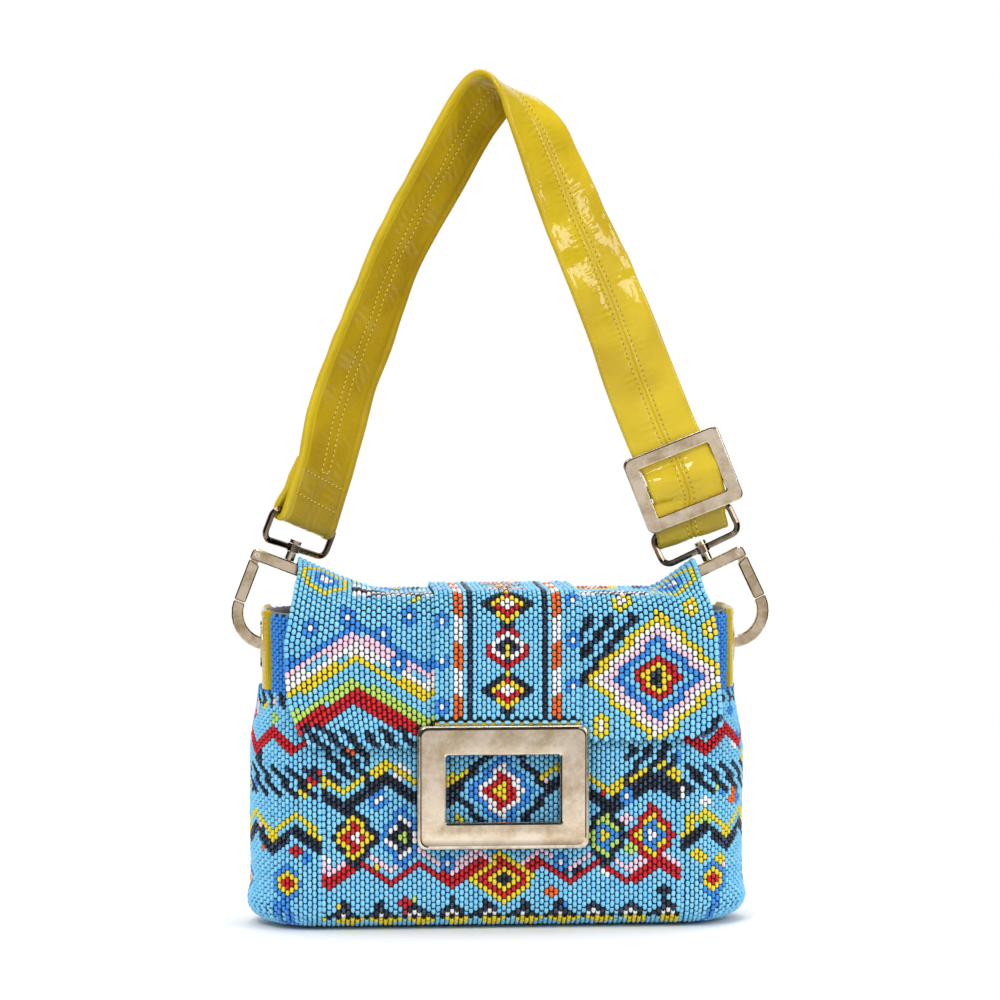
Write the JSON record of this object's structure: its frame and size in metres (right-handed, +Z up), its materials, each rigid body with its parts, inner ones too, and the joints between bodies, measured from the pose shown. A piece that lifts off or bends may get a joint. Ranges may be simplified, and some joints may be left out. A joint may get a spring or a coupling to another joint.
{
  "type": "shoulder bag",
  "caption": "Small beaded shoulder bag with a folding flap, a big rectangular frame buckle, swivelling snap hooks and a patent leather strap with a slider.",
  "frame": {"origin": "middle of the flat underside of the bag's base", "axes": "+Z up along the bag, +X to the right seen from the front, the flap and buckle face -Y"},
  "size_m": [0.2747, 0.0865, 0.4339],
  "materials": {
    "beads": "glossy seed beads in a multicoloured pattern",
    "patent_leather": "glossy patent",
    "lining": "matt woven cloth",
    "plated_metal": "pale champagne nickel with a light patina",
    "dark_metal": "dark polished nickel"
  },
  "bodies": {
    "bag": {"base_panel": "beads", "front_panel": "beads", "back_panel": "beads", "left_gusset": "beads", "right_gusset": "beads", "lining": "lining", "inner_pocket": "lining", "left_side_tab": "patent_leather", "right_side_tab": "patent_leather", "left_eyelet": "plated_metal", "right_eyelet": "plated_metal", "left_eyelet_washer": "plated_metal", "right_eyelet_washer": "plated_metal", "flap_top": "beads", "band_top": "beads", "panel_magnet": "dark_metal"},
    "flap": {"flap_front": "beads", "flap_lining": "patent_leather", "band_front": "beads", "band_edging": "patent_leather", "left_buckle_screw": "plated_metal", "right_buckle_screw": "plated_metal", "flap_magnet": "dark_metal", "buckle_frame": "plated_metal"},
    "strap": {"strap": "patent_leather", "left_ring": "dark_metal", "right_ring": "dark_metal"},
    "slider": {"slider_frame": "plated_metal", "slider_bar": "plated_metal", "strap_end_loop": "patent_leather"},
    "left_hook": {"left_hook_body": "plated_metal", "left_swivel_post": "plated_metal", "left_gate_pin": "plated_metal"},
    "right_hook": {"right_hook_body": "plated_metal", "right_swivel_post": "plated_metal", "right_gate_pin": "plated_metal"},
    "left_gate": {"left_gate": "plated_metal"},
    "right_gate": {"right_gate": "plated_metal"}
  },
  "joints": [
    {"name": "flap_fold", "type": "hinge", "parent": "bag", "child": "flap", "pos_m": [0, -0.0431, 0.158], "axis": [-1, 0, 0], "range_deg": [0, 135]},
    {"name": "strap_swing", "type": "hinge", "parent": "bag", "child": "strap", "pos_m": [0, 0, 0.1418], "axis": [1, 0, 0], "range_deg": [-25, 25]},
    {"name": "left_swivel", "type": "hinge", "parent": "strap", "child": "left_hook", "pos_m": [-0.1163, 0, 0.15769], "axis": [0.3584, 0, 0.9336], "range_deg": [-10, 10]},
    {"name": "right_swivel", "type": "hinge", "parent": "strap", "child": "right_hook", "pos_m": [0.1206, 0, 0.15761], "axis": [-0.4274, 0, 0.9041], "range_deg": [-10, 10]},
    {"name": "left_gate_hinge", "type": "hinge", "parent": "left_hook", "child": "left_gate", "pos_m": [-0.1221, 0, 0.18723], "axis": [0, -1, 0], "range_deg": [0, 18], "stiffness_Nm_per_rad": 0.02, "springref_deg": -28.65},
    {"name": "right_gate_hinge", "type": "hinge", "parent": "right_hook", "child": "right_gate", "pos_m": [0.12417, 0, 0.1875], "axis": [0, 1, 0], "range_deg": [0, 18], "stiffness_Nm_per_rad": 0.02, "springref_deg": -28.65},
    {"name": "slider_travel", "type": "slide", "parent": "strap", "child": "slider", "axis": [-0.3665, 0, 0.9304], "range_m": [0, 0.045]}
  ]
}
